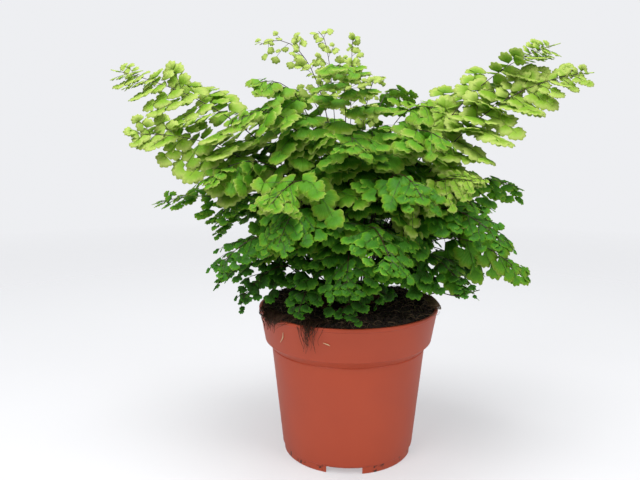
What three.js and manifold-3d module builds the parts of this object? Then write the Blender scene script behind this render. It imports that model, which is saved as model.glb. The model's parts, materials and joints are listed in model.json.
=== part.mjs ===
// A maidenhair fern growing in a 12 cm nursery pot: the pot, the potting mix, the rhizome that the
// fronds grow from, each frond as one leaf with its own stalk, and the bits of root and straw on the rim.
//
// Millimetres, +Z up. The origin is on the pot's own axis, in the plane that its foot stands on.
// +X is to the right and -Y is the plant's front. An azimuth is counted from +X towards +Y.

import * as THREE from "three";
import { mergeVertices } from "three/addons/utils/BufferGeometryUtils.js";
import Module from "manifold-3d";

const wasm = await Module();
wasm.setup();

// ---------------------------------------------------------------- driving dimensions

const POT_RADIUS = 60; // over the rim, a 12 cm pot
const POT_HEIGHT = 100;
const WALL = 1.2; // moulded polypropylene
const LIP_HEIGHT = 22; // the stacking collar round the top
const LIP_STEP = 4.4; // how far the collar stands out from the wall
const FOOT_RADIUS = 43.6;
const FOOT_HEIGHT = 4.8;
const NOTCH_WIDTH = 23; // the drainage notches through the foot
const NOTCH_TURN = -5;
const NOTCHES = 4;
const DRAIN_HOLES = 8;
const DRAIN_RADIUS = 4;
const DRAIN_CIRCLE = 31;
const GAP = 0.3; // left between pieces that touch
const SIDES = 36; // of everything that is turned about the pot's axis

const MIX_TOP = 103.5; // the potting mix is heaped a little over the rim
const RHIZOME_RADIUS = 31;
const RHIZOME_HEIGHT = 6;

const STALK_RADIUS = 0.8;
const STALK_STEPS = 6;
const LEAF_THICKNESS = 0.8;
const PLATES = 4; // along each frond's blade
const PLATE_LENGTH = 0.75; // as a share of the plate's reach to each side
const PLATE_SIZES = [1, 0.75, 0.5, 0.3]; // tried in turn where fronds are crowded
const HANG = 0.3; // how far a plate's wings drop, as a share of their reach
const CLEARANCE = 0.5; // between one frond and the next
const SEED = 50; // of the fronds' small differences
const ROOT_RADIUS = 0.6;

// ---------------------------------------------------------------- materials

const finish = (color, roughness) =>
  new THREE.MeshStandardMaterial({ color, roughness, metalness: 0 });
const terracottaPlastic = finish(0xb4513c, 0.42);
const pottingMix = finish(0x2a1c14, 0.95);
const rhizomeScale = finish(0x3b2416, 0.85);
const matureLeaf = finish(0x4fa02f, 0.5);
const youngLeaf = finish(0xa9cf55, 0.5);
const dryStalk = finish(0x4a3226, 0.6);
const rootFibre = finish(0x3a2417, 0.9);
const straw = finish(0xe2c398, 0.7);

// ---------------------------------------------------------------- small tools

const degrees = (angle) => THREE.MathUtils.degToRad(angle);
const mix = THREE.MathUtils.lerp;

// A point given by its distance from the pot's axis, its azimuth in degrees and its height.
function polar(radius, azimuth, height) {
  const angle = degrees(azimuth);
  return new THREE.Vector3(radius * Math.cos(angle), radius * Math.sin(angle), height);
}

// A fixed sequence of numbers from 0 to 1, so that every build gives the same plant.
function sequence(seed) {
  let state = seed;
  return () => {
    state = (state * 16807) % 2147483647;
    return state / 2147483647;
  };
}

// three.js geometry to a manifold solid, and back.
function solid(geometry) {
  const bare = geometry.index ? geometry.toNonIndexed() : geometry.clone();
  bare.deleteAttribute("normal");
  bare.deleteAttribute("uv");
  const merged = mergeVertices(bare, 1e-4);
  return new wasm.Manifold(
    new wasm.Mesh({
      numProp: 3,
      vertProperties: merged.attributes.position.array,
      triVerts: new Uint32Array(merged.index.array),
    }),
  );
}

function geometryOf(manifold) {
  const mesh = manifold.getMesh();
  const geometry = new THREE.BufferGeometry();
  geometry.setAttribute("position", new THREE.BufferAttribute(new Float32Array(mesh.vertProperties), 3));
  geometry.setIndex(new THREE.BufferAttribute(new Uint32Array(mesh.triVerts), 1));
  geometry.computeVertexNormals();
  return geometry;
}

// A profile of [radius, height] pairs turned about the Z axis.
function turned(profile, sides = SIDES) {
  const points = profile.map(([radius, height]) => new THREE.Vector2(radius, height));
  return new THREE.LatheGeometry(points, sides).rotateX(Math.PI / 2);
}

// A rod of regular section along a curve.
function rod(curve, radius, sides, steps) {
  const section = new THREE.Shape();
  for (let i = 0; i < sides; i++) {
    const angle = (2 * Math.PI * i) / sides;
    section[i ? "lineTo" : "moveTo"](radius * Math.cos(angle), radius * Math.sin(angle));
  }
  return new THREE.ExtrudeGeometry(section, { steps, extrudePath: curve, bevelEnabled: false });
}

const plant = new THREE.Group();

function add(name, geometry, material) {
  const mesh = new THREE.Mesh(geometry, material);
  mesh.name = name;
  plant.add(mesh);
}

// ---------------------------------------------------------------- pot

// The outside and the inside of the pot's wall share these heights.
const SHOULDER_TOP = POT_HEIGHT - LIP_HEIGHT;
const SHOULDER_DROP = 4.5; // the collar's underside slopes down to the wall
const LIP_FOOT = POT_RADIUS - 4; // the collar tapers by this much
const WALL_TOP = LIP_FOOT - LIP_STEP;
const WALL_FOOT = FOOT_RADIUS + 1.1;
const FLOOR_TOP = FOOT_HEIGHT + 1.4;

const potInside = [
  [POT_RADIUS - 2.4, POT_HEIGHT - 0.8],
  [LIP_FOOT - WALL, SHOULDER_TOP + 0.9],
  [WALL_TOP - WALL, SHOULDER_TOP - SHOULDER_DROP + 0.9],
  [WALL_FOOT - WALL, FLOOR_TOP],
];

function pot() {
  const body = solid(
    turned([
      [0, FOOT_HEIGHT],
      [FOOT_RADIUS - 2, FOOT_HEIGHT],
      [FOOT_RADIUS - 2, 0],
      [FOOT_RADIUS, 0],
      [FOOT_RADIUS + 0.4, FOOT_HEIGHT],
      [WALL_FOOT, FOOT_HEIGHT + 0.5],
      [WALL_TOP, SHOULDER_TOP - SHOULDER_DROP],
      [LIP_FOOT, SHOULDER_TOP],
      [POT_RADIUS - 0.6, POT_HEIGHT - 2.6],
      [POT_RADIUS, POT_HEIGHT - 2],
      [POT_RADIUS, POT_HEIGHT - 0.6],
      [POT_RADIUS - 0.6, POT_HEIGHT],
      [POT_RADIUS - 1.9, POT_HEIGHT],
      ...potInside,
      [0, FLOOR_TOP],
    ]),
  );
  let cuts = body;
  for (let i = 0; i < NOTCHES; i++) {
    const notch = new THREE.BoxGeometry(12, NOTCH_WIDTH, 2 * (FOOT_HEIGHT - 0.3));
    notch.translate(FOOT_RADIUS - 2, 0, 0).rotateZ(degrees(NOTCH_TURN + (360 * i) / NOTCHES));
    cuts = cuts.subtract(solid(notch));
  }
  for (let i = 0; i < DRAIN_HOLES; i++) {
    const hole = new THREE.CylinderGeometry(DRAIN_RADIUS, DRAIN_RADIUS, 3 * FLOOR_TOP, 8);
    hole.rotateX(Math.PI / 2).translate(DRAIN_CIRCLE, 0, 0);
    hole.rotateZ(degrees((360 * (i + 0.5)) / DRAIN_HOLES));
    cuts = cuts.subtract(solid(hole));
  }
  return geometryOf(cuts);
}

// ---------------------------------------------------------------- potting mix and rhizome

// The mix fills the pot and stands a little proud of the rim, lowest where it meets the wall.
function pottingMixBody() {
  const [lip, shoulder, wall, floor] = potInside;
  return turned([
    [0, floor[1] + GAP],
    [floor[0] - GAP, floor[1] + GAP],
    [wall[0] - GAP, wall[1] + GAP],
    [shoulder[0] - GAP, shoulder[1] + GAP],
    [lip[0] - GAP, lip[1] - 0.6],
    [lip[0] - 3, MIX_TOP - 1.5],
    [lip[0] - 9, MIX_TOP],
    [0, MIX_TOP],
  ]);
}

// The creeping rhizome lies on the mix as a low crown.
function rhizome() {
  const foot = MIX_TOP + GAP;
  return turned(
    [
      [0, foot],
      [RHIZOME_RADIUS, foot],
      [RHIZOME_RADIUS * 0.96, foot + RHIZOME_HEIGHT * 0.3],
      [RHIZOME_RADIUS * 0.66, foot + RHIZOME_HEIGHT * 0.8],
      [0, foot + RHIZOME_HEIGHT],
    ],
    20,
  );
}

// Just above the rhizome at this distance from its middle.
function crownHeight(radius) {
  const share = Math.min(1, radius / RHIZOME_RADIUS);
  return MIX_TOP + GAP + RHIZOME_HEIGHT * (1 - 0.62 * share ** 2) + 0.9;
}

// ---------------------------------------------------------------- fronds

// Each whorl is a ring of fronds of one age: they rise from one distance on the rhizome, and their
// tips reach the same way out and up, each give or take a little. The arch is how far the stalk's
// curve is pulled above its tip, the lean how far out that pull sits, and the bare share is the
// stalk below the first leaf branch.
const WHORLS = [
  { count: 5, start: 46, base: 6, reach: 62, tip: 242, arch: 22, lean: 0.2, bare: 0.48, width: 38 },
  { count: 7, start: 10, base: 10, reach: 74, tip: 212, arch: 34, lean: 0.25, bare: 0.44, width: 42 },
  { count: 8, start: 24, base: 14, reach: 90, tip: 182, arch: 44, lean: 0.3, bare: 0.38, width: 42 },
  { count: 8, start: 5, base: 18, reach: 98, tip: 152, arch: 50, lean: 0.33, bare: 0.32, width: 40 },
  { count: 7, start: 12, base: 22, reach: 88, tip: 132, arch: 44, lean: 0.36, bare: 0.28, width: 38 },
];

// The fronds that stand clear of the rings, each set by hand: the long ones to the left and the right,
// the young sprays at the top, and the low ones that hang over the rim. The front share is how far a
// blade's face is turned from the sky towards the plant's front.
const ARMS = [
  { azimuth: 178, base: 9, reach: 151, tip: 254, arch: -30, lean: 0.12, bare: 0.5, width: 44, front: 0.45 },
  { azimuth: 190, base: 14, reach: 137, tip: 213, arch: 4, lean: 0.2, bare: 0.5, width: 38, front: 0.4 },
  { azimuth: 170, base: 17, reach: 136, tip: 166, arch: 24, lean: 0.3, bare: 0.6, width: 24, front: 0.4 },
  { azimuth: 4, base: 9, reach: 134, tip: 271, arch: -25, lean: 0.34, bare: 0.42, width: 42, front: 0.35 },
  { azimuth: 356, base: 14, reach: 149, tip: 251, arch: -8, lean: 0.34, bare: 0.42, width: 40, front: 0.35 },
  { azimuth: 12, base: 17, reach: 124, tip: 176, arch: 30, lean: 0.35, bare: 0.5, width: 34, front: 0.4 },
  { azimuth: 345, base: 21, reach: 114, tip: 124, arch: 54, lean: 0.4, bare: 0.5, width: 24, front: 0.5 },
  { azimuth: 318, base: 14, reach: 92, tip: 186, arch: 12, lean: 0.3, bare: 0.55, width: 34, front: 0.4 },
  { azimuth: 176, base: 3, reach: 58, tip: 270, arch: 24, lean: 0.1, bare: 0.66, width: 24, front: 0.8 },
  { azimuth: 146, base: 6, reach: 24, tip: 280, arch: 0, lean: 0.25, bare: 0.7, width: 20, front: 0.8 },
  { azimuth: 80, base: 3, reach: 15, tip: 276, arch: 0, lean: 0.25, bare: 0.68, width: 22, front: 0.8 },
  { azimuth: 16, base: 4, reach: 24, tip: 250, arch: 14, lean: 0.1, bare: 0.72, width: 18, front: 0.8 },
  { azimuth: 268, base: 25, reach: 60, tip: 108, arch: 34, lean: 0.4, bare: 0.3, width: 24, front: 0.3 },
  { azimuth: 243, base: 26, reach: 70, tip: 110, arch: 36, lean: 0.4, bare: 0.3, width: 20, front: 0.3 },
  { azimuth: 214, base: 25, reach: 80, tip: 114, arch: 38, lean: 0.4, bare: 0.3, width: 26, front: 0.3 },
  { azimuth: 290, base: 26, reach: 50, tip: 114, arch: 22, lean: 0.4, bare: 0.3, width: 18, front: 0.3 },
  { azimuth: 172, base: 26, reach: 90, tip: 112, arch: 38, lean: 0.4, bare: 0.3, width: 28, front: 0.2 },
];
const YOUNG = [0, 1, 3, 4, 7, 8, 9, 10, 11]; // which of the arms have young lime-green leaves
const WHORL_FRONT = 0.12; // the rings' own front share
const TILT = 8; // the rings stand this much higher on the left, and lower on the right

// Every frond's own numbers: the whorls' rings, then the arms.
function frondList() {
  const random = sequence(SEED);
  const around = (amount) => (random() - 0.5) * 2 * amount;
  const list = [];
  for (const whorl of WHORLS) {
    for (let i = 0; i < whorl.count; i++) {
      const azimuth = whorl.start + (360 * i) / whorl.count + around(6);
      list.push({
        ...whorl,
        azimuth,
        reach: whorl.reach * (1 + around(0.12)),
        tip: whorl.tip + around(12) - TILT * Math.cos(degrees(azimuth)),
        sweep: around(12),
        front: WHORL_FRONT,
      });
    }
  }
  ARMS.forEach((arm, i) => list.push({ sweep: 0, young: YOUNG.includes(i), ...arm }));
  return list;
}

// The stalk's line from the rhizome to the frond's tip.
function stalkCurve(frond) {
  const foot = polar(frond.base, frond.azimuth, crownHeight(frond.base));
  const tip = polar(frond.reach, frond.azimuth + frond.sweep, frond.tip);
  const knee = polar(mix(frond.base, frond.reach, frond.lean), frond.azimuth, frond.tip + frond.arch);
  return new THREE.QuadraticBezierCurve3(foot, knee, tip);
}

// A point on the stalk, which runs straight from one step of its curve to the next.
function onStalk(curve, share) {
  const step = Math.min(STALK_STEPS - 1, Math.floor(share * STALK_STEPS));
  const start = curve.getPointAt(step / STALK_STEPS);
  const end = curve.getPointAt((step + 1) / STALK_STEPS);
  return start.lerp(end, share * STALK_STEPS - step);
}

// A pair of leaf branches as one thin plate that lies across the stalk and folds down along it. It
// runs from its back corner to its front one, and its two wings reach out to the sides.
function bladePlate(root, forward, front, reach, grown) {
  const length = PLATE_LENGTH * reach;
  const face = new THREE.Vector3(0, -front, 1 - front);
  const side = new THREE.Vector3().crossVectors(forward, face).normalize();
  const up = new THREE.Vector3().crossVectors(side, forward).normalize();
  const at = (ahead, sideways, lift) =>
    root
      .clone()
      .addScaledVector(forward, ahead)
      .addScaledVector(side, sideways)
      .addScaledVector(up, lift);
  const wing = reach + grown;
  const outline = [
    at(-0.35 * length - grown, 0, 0),
    at(0.2 * length, wing, -HANG * reach),
    at(0.65 * length + grown, 0, 0),
    at(0.2 * length, -wing, -HANG * reach),
  ];
  const half = up.multiplyScalar(LEAF_THICKNESS / 2 + grown);
  const top = outline.map((point) => point.clone().add(half));
  const bottom = outline.map((point) => point.clone().sub(half));
  const corners = [...top, ...bottom].flatMap((point) => point.toArray());
  const edges = [0, 1, 2, 3].flatMap((i) => {
    const next = (i + 1) % 4;
    return [i, i + 4, next + 4, i, next + 4, next];
  });
  const geometry = new THREE.BufferGeometry();
  geometry.setAttribute("position", new THREE.Float32BufferAttribute(corners, 3));
  geometry.setIndex([0, 1, 2, 0, 2, 3, 4, 6, 5, 4, 7, 6, ...edges]);
  return solid(geometry);
}

// Where the plates of a frond's blade sit along its stalk, shorter and narrower towards the tip.
function bladeStations(frond) {
  const stations = [];
  for (let i = 0; i < PLATES; i++) {
    const share = mix(frond.bare, 0.9, i / (PLATES - 1));
    const taper = mix(1, 0.32, i / (PLATES - 1));
    stations.push({ share, taper });
  }
  return stations;
}

function boxesMeet(a, b) {
  return [0, 1, 2].every((axis) => a.min[axis] <= b.max[axis] && b.min[axis] <= a.max[axis]);
}

// Builds every frond. A plate that would touch another frond is made smaller, and then left off, so
// the solids stay clear of each other; the stalks alone are laid out so that they never meet.
function fronds() {
  const list = frondList().map((frond) => {
    const curve = stalkCurve(frond);
    return { frond, curve, stalk: solid(rod(curve, STALK_RADIUS, 3, STALK_STEPS)) };
  });
  const placed = list.map(({ frond, curve }) => {
    const body = solid(rod(curve, STALK_RADIUS + CLEARANCE, 4, STALK_STEPS));
    return { owner: frond, body, box: body.boundingBox() };
  });
  const clear = (frond, body) => {
    const box = body.boundingBox();
    const near = placed.filter((other) => other.owner !== frond && boxesMeet(box, other.box));
    return near.every((other) => body.intersect(other.body).isEmpty());
  };
  for (const entry of list) {
    entry.leaf = entry.stalk;
    for (const { share, taper } of bladeStations(entry.frond)) {
      const root = onStalk(entry.curve, share);
      const forward = entry.curve.getTangentAt(share);
      const fit = PLATE_SIZES.find((size) => {
        const reach = entry.frond.width * taper * size;
        return clear(entry.frond, bladePlate(root, forward, entry.frond.front, reach, CLEARANCE));
      });
      if (!fit) continue;
      const reach = entry.frond.width * taper * fit;
      const plate = bladePlate(root, forward, entry.frond.front, reach, 0);
      entry.leaf = entry.leaf.add(plate);
      placed.push({ owner: entry.frond, body: plate, box: plate.boundingBox() });
    }
  }
  return list;
}

// ---------------------------------------------------------------- roots and straw

// A root that creeps over the rim and hangs down outside it.
function hangingRoot(azimuth, drop) {
  const curve = new THREE.CatmullRomCurve3([
    polar(POT_RADIUS - 10, azimuth - 4, MIX_TOP + 1.4),
    polar(POT_RADIUS - 4, azimuth, POT_HEIGHT + 3.4),
    polar(POT_RADIUS + 0.6, azimuth + 1, POT_HEIGHT + 1.6),
    polar(POT_RADIUS + 1.6, azimuth, POT_HEIGHT - 3),
    polar(POT_RADIUS + 0.8, azimuth - 2, POT_HEIGHT - drop),
  ]);
  return geometryOf(solid(rod(curve, ROOT_RADIUS, 4, 10)));
}

// A sliver of straw from the mix, stuck to the outside of the collar.
function strawSliver(azimuth, height, turn) {
  const taper = Math.atan2(POT_RADIUS - LIP_FOOT, LIP_HEIGHT);
  const wall = mix(LIP_FOOT, POT_RADIUS, (height - SHOULDER_TOP) / LIP_HEIGHT);
  const middle = polar(wall + 1, azimuth, height);
  const sliver = new THREE.BoxGeometry(0.8, 1, 9);
  sliver.rotateX(degrees(turn)).rotateY(taper).rotateZ(degrees(azimuth));
  return sliver.translate(middle.x, middle.y, middle.z);
}

// An old bare stalk that leans out over the rim.
function bareStalk() {
  const curve = new THREE.CatmullRomCurve3([
    polar(44, 352, MIX_TOP + 1),
    polar(58, 350, MIX_TOP + 7),
    polar(72, 347, MIX_TOP + 6),
    polar(86, 346, MIX_TOP + 11),
  ]);
  return geometryOf(solid(rod(curve, ROOT_RADIUS, 4, 8)));
}

// ---------------------------------------------------------------- assembly

add("pot", pot(), terracottaPlastic);
add("potting_mix", pottingMixBody(), pottingMix);
add("rhizome", rhizome(), rhizomeScale);
add("root_1", hangingRoot(245, 15), rootFibre);
add("root_2", hangingRoot(219, 9), rootFibre);
add("straw_1", strawSliver(223, 89, 40), straw);
add("straw_2", strawSliver(255, 88, -25), straw);
add("dry_stalk", bareStalk(), dryStalk);
fronds().forEach(({ frond, leaf }, index) => {
  const name = "frond_" + String(index + 1).padStart(2, "0");
  add(name, geometryOf(leaf), frond.young ? youngLeaf : matureLeaf);
});

export default plant;
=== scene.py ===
"""A maidenhair fern in a 12 cm nursery pot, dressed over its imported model.

Metres, +Z up, in the model's own frame: the origin is where the pot's axis meets the floor, +X is
to the right and -Y is the plant's front. An azimuth is counted from +X towards +Y, in degrees.
"""

import json
import math

import bmesh
import bpy
import numpy as np
from mathutils import Matrix, Vector, noise

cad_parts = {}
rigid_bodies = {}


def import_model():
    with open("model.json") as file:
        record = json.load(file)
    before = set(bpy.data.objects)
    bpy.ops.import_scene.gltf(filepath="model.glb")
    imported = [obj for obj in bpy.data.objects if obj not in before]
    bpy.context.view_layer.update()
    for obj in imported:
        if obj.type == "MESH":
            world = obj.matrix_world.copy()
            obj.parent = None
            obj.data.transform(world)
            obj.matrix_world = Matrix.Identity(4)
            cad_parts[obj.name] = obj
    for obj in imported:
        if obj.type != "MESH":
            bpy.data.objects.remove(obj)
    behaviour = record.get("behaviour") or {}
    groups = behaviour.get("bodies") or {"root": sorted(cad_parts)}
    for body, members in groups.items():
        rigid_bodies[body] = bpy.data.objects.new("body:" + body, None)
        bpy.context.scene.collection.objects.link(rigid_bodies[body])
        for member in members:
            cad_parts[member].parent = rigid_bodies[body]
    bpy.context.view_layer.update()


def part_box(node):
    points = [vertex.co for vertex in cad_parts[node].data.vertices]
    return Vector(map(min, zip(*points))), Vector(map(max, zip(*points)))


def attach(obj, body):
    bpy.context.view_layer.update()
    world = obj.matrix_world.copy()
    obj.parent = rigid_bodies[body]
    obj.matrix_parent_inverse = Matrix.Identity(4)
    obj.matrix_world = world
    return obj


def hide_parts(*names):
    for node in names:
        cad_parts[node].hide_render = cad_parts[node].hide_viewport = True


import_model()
MM = 0.001

# ---------------------------------------------------------------- pot
# A round nursery pot with a stacking collar. It is injection-moulded polypropylene in a terracotta
# colour, with small rounded edges, four drainage notches through its foot and eight holes in its
# floor. Everything else stands in it.

_, pot_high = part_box("pot")
POT_RADIUS = pot_high.x
POT_HEIGHT = pot_high.z
WALL = 1.2 * MM
COLLAR_HEIGHT = 22 * MM
COLLAR_TAPER = 4 * MM
COLLAR_STEP = 4.4 * MM
SHOULDER_DROP = 4.5 * MM
FOOT_RADIUS = 43.6 * MM
FOOT_HEIGHT = 4.8 * MM
FOOT_WIDTH = 2 * MM
NOTCH_WIDTH = 23 * MM
NOTCH_TURN = -5
NOTCHES = 4
DRAIN_HOLES = 8
DRAIN_RADIUS = 4 * MM
DRAIN_CIRCLE = 31 * MM
TURNED_SIDES = 160


def linear(hex_colour):
    """An sRGB hex colour as linear RGBA."""
    parts = [int(hex_colour[i : i + 2], 16) / 255 for i in (1, 3, 5)]
    return (*(c / 12.92 if c <= 0.04045 else ((c + 0.055) / 1.055) ** 2.4 for c in parts), 1.0)


def add_node(tree, kind, inputs=None, **settings):
    """Adds a node, makes its settings, and gives its inputs a value or links from one or more sockets."""
    node = tree.nodes.new(kind)
    for name, value in settings.items():
        setattr(node, name, value)
    for key, value in (inputs or {}).items():
        if isinstance(value, bpy.types.NodeSocket):
            tree.links.new(value, node.inputs[key])
        elif isinstance(value, list):
            for socket in value:
                tree.links.new(socket, node.inputs[key])
        else:
            node.inputs[key].default_value = value
    return node


def new_material(name):
    """An empty node material and its tree."""
    material = bpy.data.materials.new(name)
    material.use_nodes = True
    material.node_tree.nodes.clear()
    return material, material.node_tree


def moulded_polypropylene():
    """Satin terracotta plastic: a soft wide gloss, faint flow clouds and a very fine mould texture."""
    material, tree = new_material("moulded polypropylene")
    place = add_node(tree, "ShaderNodeTexCoord").outputs["Object"]
    # the plastic flowed in clouds about 36 mm across
    clouds = add_node(tree, "ShaderNodeTexNoise", {"Vector": place, "Scale": 28.0, "Detail": 4.0})
    colour = add_node(
        tree,
        "ShaderNodeMix",
        {"Factor": clouds.outputs["Fac"], "A": linear("#b9482a"), "B": linear("#cc5431")},
        data_type="RGBA",
    )
    # dark flecks of about 4 mm in the crease above the foot, 5 mm up: partly dried soil, partly painted shade
    # of the crease
    height = add_node(tree, "ShaderNodeSeparateXYZ", {0: place}).outputs["Z"]
    low = add_node(
        tree,
        "ShaderNodeMapRange",
        {"Value": height, "From Min": 0.0045, "From Max": 0.0062, "To Min": 1.0, "To Max": 0.0},
    )
    flecks = add_node(tree, "ShaderNodeTexNoise", {"Vector": place, "Scale": 260.0, "Detail": 3.0})
    caught = add_node(
        tree,
        "ShaderNodeMapRange",
        {"Value": flecks.outputs["Fac"], "From Min": 0.56, "From Max": 0.66},
    )
    # partly dried soil, partly painted shade: the flecks darken only the crease
    soil_and_shade = add_node(tree, "ShaderNodeMath", {0: low.outputs[0], 1: caught.outputs[0]}, operation="MULTIPLY")
    soiled_and_shaded = add_node(
        tree,
        "ShaderNodeMix",
        {"Factor": soil_and_shade.outputs[0], "A": colour.outputs["Result"], "B": linear("#3a2018")},
        data_type="RGBA",
    )
    # the mould's spark-eroded grain is about 0.3 mm
    grain = add_node(tree, "ShaderNodeTexNoise", {"Vector": place, "Scale": 3000.0, "Detail": 2.0})
    gloss = add_node(
        tree,
        "ShaderNodeMapRange",
        {"Value": clouds.outputs["Fac"], "To Min": 0.36, "To Max": 0.5},
    )
    bump = add_node(
        tree,
        "ShaderNodeBump",
        {"Height": grain.outputs["Fac"], "Strength": 0.12, "Distance": 0.0001},
    )
    surface = add_node(
        tree,
        "ShaderNodeBsdfPrincipled",
        {
            "Base Color": soiled_and_shaded.outputs["Result"],
            "Roughness": gloss.outputs["Result"],
            "Normal": bump.outputs["Normal"],
            "IOR": 1.49,
        },
    )
    add_node(tree, "ShaderNodeOutputMaterial", {"Surface": surface.outputs["BSDF"]})
    return material


def rounded(profile, radius, steps=4):
    """A profile of (radius, height) pairs with each corner off the axis rounded by a small curve."""
    points = [Vector(p) for p in profile]
    smooth = [points[0]]
    for before, corner, after in zip(points, points[1:], points[2:]):
        back, ahead = before - corner, after - corner
        half = back.angle(ahead) / 2
        cut = min(radius / math.tan(half), back.length * 0.45, ahead.length * 0.45)
        start, end = corner + back.normalized() * cut, corner + ahead.normalized() * cut
        for i in range(steps + 1):
            share = i / steps
            smooth.append(start.lerp(corner, share).lerp(corner.lerp(end, share), share))
    smooth.append(points[-1])
    return smooth


def turned(profile, sides=TURNED_SIDES):
    """A closed mesh from a profile that starts and ends on the Z axis, going up the outside."""
    mesh = bmesh.new()
    rings = []
    for radius, height in profile:
        if radius < 1e-7:
            rings.append([mesh.verts.new((0, 0, height))] * sides)
            continue
        angles = [2 * math.pi * i / sides for i in range(sides)]
        rings.append([mesh.verts.new((radius * math.cos(a), radius * math.sin(a), height)) for a in angles])
    for lower, upper in zip(rings, rings[1:]):
        for i in range(sides):
            j = (i + 1) % sides
            corners = list(dict.fromkeys([lower[i], lower[j], upper[j], upper[i]]))
            mesh.faces.new(corners)
    bmesh.ops.recalc_face_normals(mesh, faces=mesh.faces)
    return mesh


def as_object(name, mesh):
    """A bmesh as an object of the scene, at the origin."""
    data = bpy.data.meshes.new(name)
    mesh.to_mesh(data)
    mesh.free()
    made = bpy.data.objects.new(name, data)
    bpy.context.scene.collection.objects.link(made)
    return made


def apply_modifiers(piece):
    """Turns what a piece's modifiers make into its own plain mesh."""
    graph = bpy.context.evaluated_depsgraph_get()
    data = bpy.data.meshes.new_from_object(
        piece.evaluated_get(graph), preserve_all_data_layers=True, depsgraph=graph
    )
    piece.modifiers.clear()
    piece.data = data


def smooth_shade(piece, angle=35):
    """Smooth shading that keeps the edges sharper than the angle."""
    piece.data.shade_smooth()
    piece.data.set_sharp_from_angle(angle=math.radians(angle))


def in_place(piece, slot, *nodes):
    """A finished piece: it rides with the pot and stands for these nodes, which it hides."""
    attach(piece, "root")
    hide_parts(*nodes)


shoulder_top = POT_HEIGHT - COLLAR_HEIGHT
shoulder_foot = shoulder_top - SHOULDER_DROP
collar_foot = POT_RADIUS - COLLAR_TAPER
wall_top = collar_foot - COLLAR_STEP
wall_foot = FOOT_RADIUS + 1.1 * MM
floor_top = FOOT_HEIGHT + 1.4 * MM
LIP = 0.8 * MM
CREASE = 0.5 * MM

pot_inside = [
    (POT_RADIUS - 2 * LIP - 0.8 * MM, POT_HEIGHT - 0.8 * MM),
    (collar_foot - WALL, shoulder_top + 0.9 * MM),
    (wall_top - WALL, shoulder_foot + 0.9 * MM),
    (wall_foot - WALL, floor_top),
]
pot_profile = [
    (0, FOOT_HEIGHT),
    (FOOT_RADIUS - FOOT_WIDTH, FOOT_HEIGHT),
    (FOOT_RADIUS - FOOT_WIDTH, 0),
    (FOOT_RADIUS, 0),
    (FOOT_RADIUS + 0.4 * MM, FOOT_HEIGHT),
    (wall_foot, FOOT_HEIGHT + 0.5 * MM),
    (wall_top, shoulder_foot - 1 * MM),
    (wall_top - CREASE, shoulder_foot - 0.4 * MM),
    (wall_top, shoulder_foot),
    (collar_foot, shoulder_top),
    (POT_RADIUS - 0.6 * MM, POT_HEIGHT - 2.6 * MM),
    (POT_RADIUS, POT_HEIGHT - 2 * MM),
    (POT_RADIUS, POT_HEIGHT),
    (POT_RADIUS - 2 * LIP, POT_HEIGHT),
    *pot_inside,
    (0, floor_top),
]
pot = as_object("nursery_pot", turned(rounded(pot_profile, 0.45 * MM)))

cutters = bmesh.new()
for i in range(NOTCHES):
    turn = Matrix.Rotation(math.radians(NOTCH_TURN + 360 * i / NOTCHES), 4, "Z")
    place = turn @ Matrix.Translation((FOOT_RADIUS, 0, 0))
    size = Matrix.Diagonal((12 * MM, NOTCH_WIDTH, 2 * (FOOT_HEIGHT - 0.3 * MM), 1))
    bmesh.ops.create_cube(cutters, size=1, matrix=place @ size)
for i in range(DRAIN_HOLES):
    turn = Matrix.Rotation(2 * math.pi * (i + 0.5) / DRAIN_HOLES, 4, "Z")
    bmesh.ops.create_cone(
        cutters,
        cap_ends=True,
        segments=24,
        radius1=DRAIN_RADIUS,
        radius2=DRAIN_RADIUS,
        depth=4 * floor_top,
        matrix=turn @ Matrix.Translation((DRAIN_CIRCLE, 0, 0)),
    )
cutter = as_object("cutter", cutters)
drainage = pot.modifiers.new("drainage", "BOOLEAN")
drainage.object = cutter
drainage.operation = "DIFFERENCE"
drainage.solver = "EXACT"
apply_modifiers(pot)
bpy.data.objects.remove(cutter)
smooth_shade(pot)
pot.data.materials.clear()
pot.data.materials.append(moulded_polypropylene())
in_place(pot, "terracotta_plastic", "pot")

# ---------------------------------------------------------------- potting mix
# Moist peat, heaped a little over the rim and crumbly on top. Its surface is a rough closed body,
# strewn with crumbs of peat and short pale fibres.

MIX_RINGS = 44
MIX_SIDES = 120
CRUMB = 2.4 * MM
CRUMBS_PER_M2 = 130000
FIBRE = 5 * MM
FIBRES_PER_M2 = 60000


def peat():
    """Damp peat: near-black brown, matt, with crumbs of a few shades."""
    material, tree = new_material("moist peat")
    place = add_node(tree, "ShaderNodeTexCoord").outputs["Object"]
    # crumbs about 2.4 mm across
    lumps = add_node(tree, "ShaderNodeTexNoise", {"Vector": place, "Scale": 420.0, "Detail": 6.0})
    ramp = add_node(tree, "ShaderNodeValToRGB", {"Fac": lumps.outputs["Fac"]})
    ramp.color_ramp.elements[0].position = 0.35
    ramp.color_ramp.elements[0].color = linear("#100b07")
    ramp.color_ramp.elements[1].position = 0.72
    ramp.color_ramp.elements[1].color = linear("#3a291c")
    bump = add_node(
        tree,
        "ShaderNodeBump",
        {"Height": lumps.outputs["Fac"], "Strength": 0.8, "Distance": 0.0012},
    )
    surface = add_node(
        tree,
        "ShaderNodeBsdfPrincipled",
        {"Base Color": ramp.outputs["Color"], "Normal": bump.outputs["Normal"], "Roughness": 0.93},
    )
    add_node(tree, "ShaderNodeOutputMaterial", {"Surface": surface.outputs["BSDF"]})
    return material


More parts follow.
